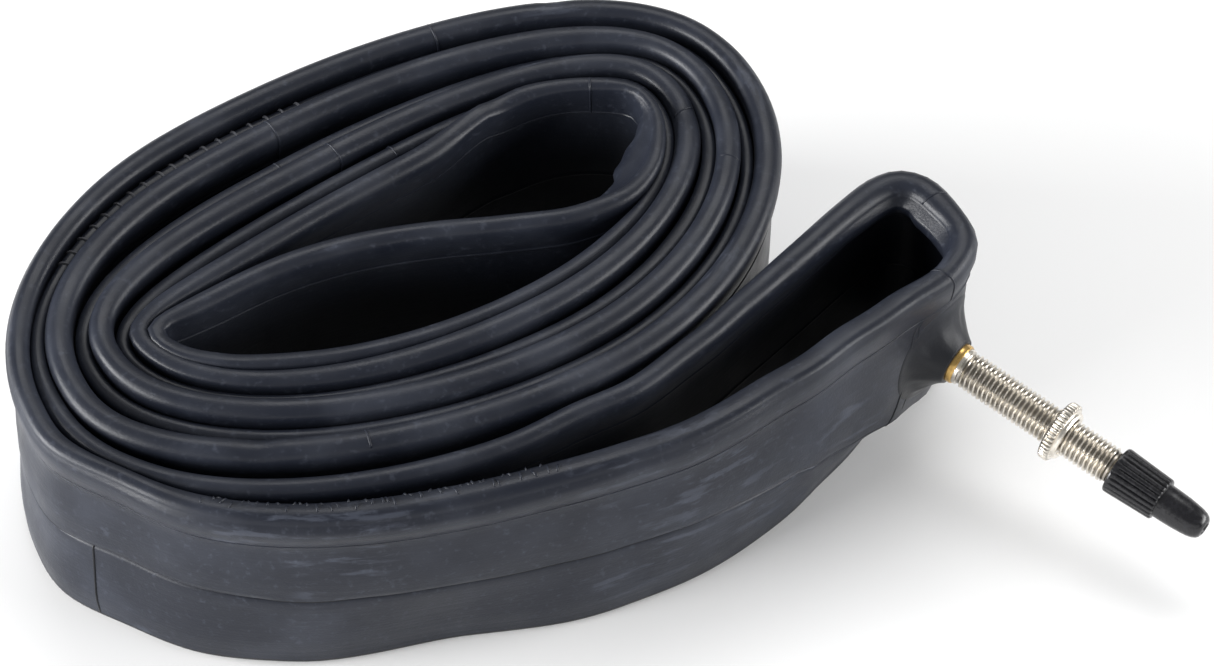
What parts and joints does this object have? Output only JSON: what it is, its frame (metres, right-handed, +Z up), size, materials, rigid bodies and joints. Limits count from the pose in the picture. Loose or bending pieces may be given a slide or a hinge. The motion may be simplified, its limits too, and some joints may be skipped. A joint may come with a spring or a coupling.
{
  "type": "bicycle inner tube",
  "caption": "Empty bicycle inner tube, folded double and rolled up flat on its edge, with a threaded valve, lock nut and dust cap on a loop at one side.",
  "frame": {"origin": "on the ground, under the middle of the rolled tube and valve together", "axes": "+X along the longest extent, with the valve at the +X end; +Z up, across the flat tube's width"},
  "size_m": [0.175, 0.1014, 0.035],
  "materials": {
    "butyl": "satin, dusted with talc",
    "nickel": "nickel plated",
    "brass": "turned",
    "seal_rubber": "matt",
    "plastic": "moulded"
  },
  "bodies": {
    "tube": {"tube_body": "butyl", "valve_patch": "butyl", "valve_boot": "butyl", "valve_stem": "nickel", "core_barrel": "nickel", "core_washer": "seal_rubber"},
    "pin": {"core_pin": "brass", "pin_seal": "seal_rubber"},
    "tip_nut": {"tip_nut": "nickel"},
    "rim_nut": {"rim_nut": "nickel"},
    "cap": {"dust_cap": "plastic"}
  },
  "joints": [
    {"name": "cap_off", "type": "slide", "parent": "tube", "child": "cap", "axis": [0.7876, -0.6022, -0.1305], "range_m": [0, 0.022]},
    {"name": "rim_nut_travel", "type": "slide", "parent": "tube", "child": "rim_nut", "axis": [0.7876, -0.6022, -0.1305], "range_m": [-0.017, 0.008]},
    {"name": "tip_nut_travel", "type": "slide", "parent": "pin", "child": "tip_nut", "axis": [0.7876, -0.6022, -0.1305], "range_m": [0, 0.0011]},
    {"name": "pin_press", "type": "slide", "parent": "tube", "child": "pin", "axis": [0.7876, -0.6022, -0.1305], "range_m": [-0.0011, 0]}
  ],
  "couplings": [
    {"joint": "pin_press", "follows": "tip_nut_travel", "ratio": -1}
  ]
}
